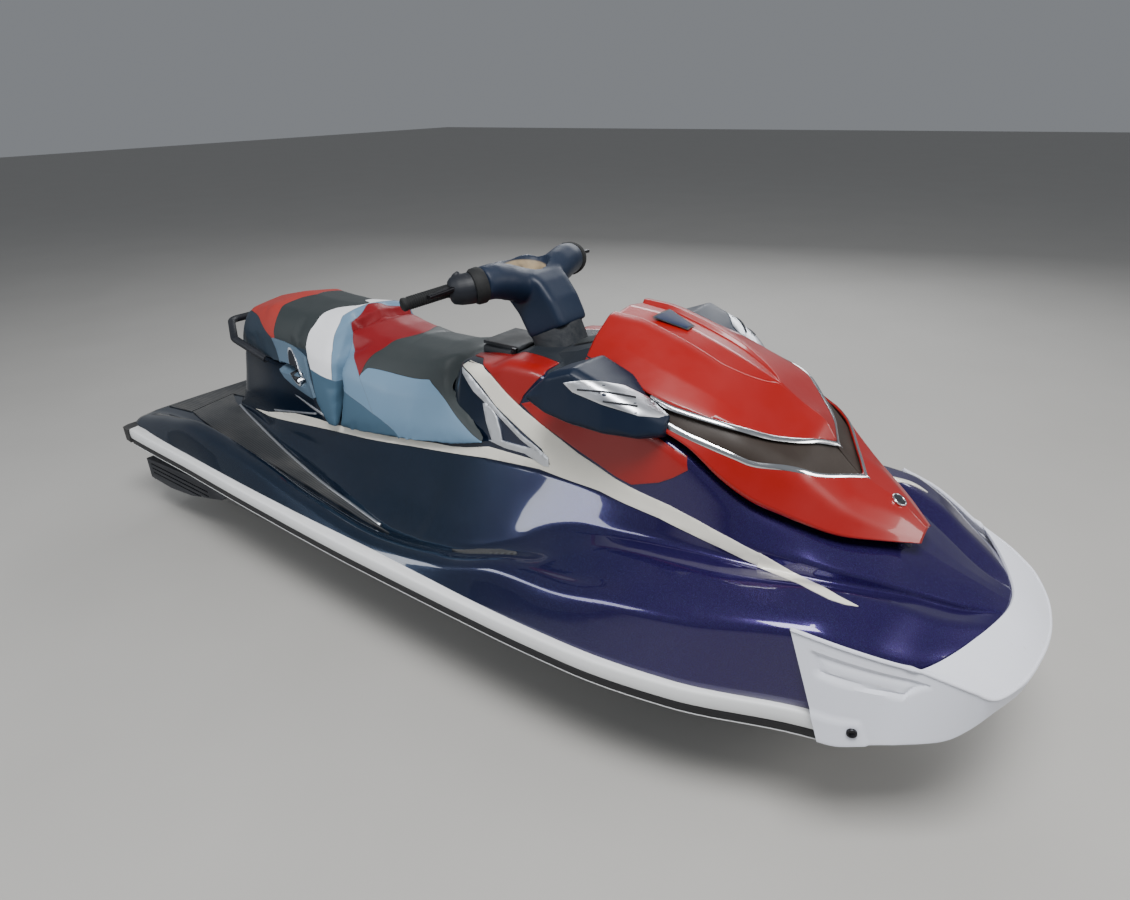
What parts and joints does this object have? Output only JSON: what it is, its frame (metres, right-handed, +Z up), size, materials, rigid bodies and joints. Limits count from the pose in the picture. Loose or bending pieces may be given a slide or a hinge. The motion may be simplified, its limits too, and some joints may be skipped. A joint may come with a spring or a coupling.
{
  "type": "personal watercraft",
  "caption": "Personal watercraft with a V hull, straddle seat, opening bow hood, handlebar steering, and a jet pump with steering nozzle and reverse gate.",
  "frame": {"origin": "on the floor under the middle of the craft, on the centre plane, level with the flat of the keel", "axes": "+X forward to the bow, +Y to port, +Z up"},
  "size_m": [3.214, 1.172, 1.1757],
  "materials": {
    "step_metal": "satin",
    "bumper_white": "satin",
    "deck_gel": "glossy",
    "fitting_steel": "polished",
    "display_black": "glossy",
    "cap_black": "matte",
    "mat_foam": "matte",
    "seat_vinyl": "matte",
    "lid_black": "satin",
    "column_black": "matte",
    "grip_rubber": "matte",
    "bar_metal": "satin",
    "grille_black": "matte",
    "red_gel": "glossy",
    "bright_trim": "polished",
    "hull_gel": "glossy",
    "impeller_metal": "polished",
    "cast_metal": "satin",
    "lever_metal": "satin",
    "pod_navy": "glossy",
    "black_rail": "matte",
    "white_rail": "satin",
    "gate_metal": "satin",
    "sponson_black": "matte",
    "pad_navy": "satin",
    "vent_silver": "satin"
  },
  "bodies": {
    "hull_body": {"hull": "hull_gel", "deck": "deck_gel", "side_decks": "deck_gel", "pedestal": "deck_gel", "bow_deck": "deck_gel", "tub_walls": "deck_gel", "rail_white": "white_rail", "rail_black": "black_rail", "bow_bumper": "bumper_white", "stern_bumper": "bumper_white", "sponsons": "sponson_black", "ride_plate": "cast_metal", "intake_grate": "cast_metal", "pump_housing": "cast_metal", "step_brackets": "step_metal", "steering_base": "column_black", "hood_hinge": "fitting_steel", "rear_seat": "seat_vinyl", "front_seat": "seat_vinyl", "footwell_mats": "mat_foam", "toe_mats": "mat_foam", "platform_mat": "mat_foam", "side_panels": "red_gel", "vent_frames": "vent_silver", "glovebox_hinge": "fitting_steel", "grab_rail": "column_black", "bow_eye": "fitting_steel", "stern_eyes": "fitting_steel", "drain_plugs": "cap_black", "fuel_cap": "cap_black", "display": "display_black"},
    "handlebar_body": {"handlebar": "bar_metal", "grip_left": "grip_rubber", "grip_right": "grip_rubber", "steering_pad": "pad_navy", "lever_left": "lever_metal", "lever_right": "lever_metal"},
    "impeller_body": {"impeller": "impeller_metal"},
    "nozzle_body": {"steering_nozzle": "gate_metal"},
    "gate_body": {"reverse_gate": "gate_metal"},
    "hood_body": {"hood_upper": "red_gel", "hood_trims": "bright_trim", "hood_grille": "grille_black", "hood_nose": "red_gel", "hood_knuckle": "fitting_steel", "mirror_pods": "pod_navy"},
    "step_body": {"boarding_step": "step_metal"},
    "glovebox_body": {"glovebox_lid": "lid_black"}
  },
  "joints": [
    {"name": "steering", "type": "hinge", "parent": "hull_body", "child": "handlebar_body", "pos_m": [0.253, 0, 0.93], "axis": [-0.4226, 0, 0.9063], "range_deg": [-22, 22]},
    {"name": "impeller_spin", "type": "hinge", "parent": "hull_body", "child": "impeller_body", "pos_m": [-1.107, 0, 0.112], "axis": [1, 0, 0], "continuous": true},
    {"name": "nozzle_steer", "type": "hinge", "parent": "hull_body", "child": "nozzle_body", "pos_m": [-1.327, 0, 0.112], "axis": [0, 0, 1], "range_deg": [-20, 20]},
    {"name": "reverse_gate_swing", "type": "hinge", "parent": "hull_body", "child": "gate_body", "pos_m": [-1.262, 0, 0.15], "axis": [0, -1, 0], "range_deg": [0, 50]},
    {"name": "hood_lid", "type": "hinge", "parent": "hull_body", "child": "hood_body", "pos_m": [1.289, 0, 0.606], "axis": [0, 1, 0], "range_deg": [0, 38]},
    {"name": "boarding_step_swing", "type": "hinge", "parent": "hull_body", "child": "step_body", "pos_m": [-1.573, 0, 0.186], "axis": [0, -1, 0], "range_deg": [0, 120]},
    {"name": "glovebox_lid_swing", "type": "hinge", "parent": "hull_body", "child": "glovebox_body", "pos_m": [0.155, 0, 0.882], "axis": [0, 1, 0], "range_deg": [0, 45]}
  ],
  "couplings": [
    {"joint": "nozzle_steer", "follows": "steering", "ratio": -0.9}
  ]
}
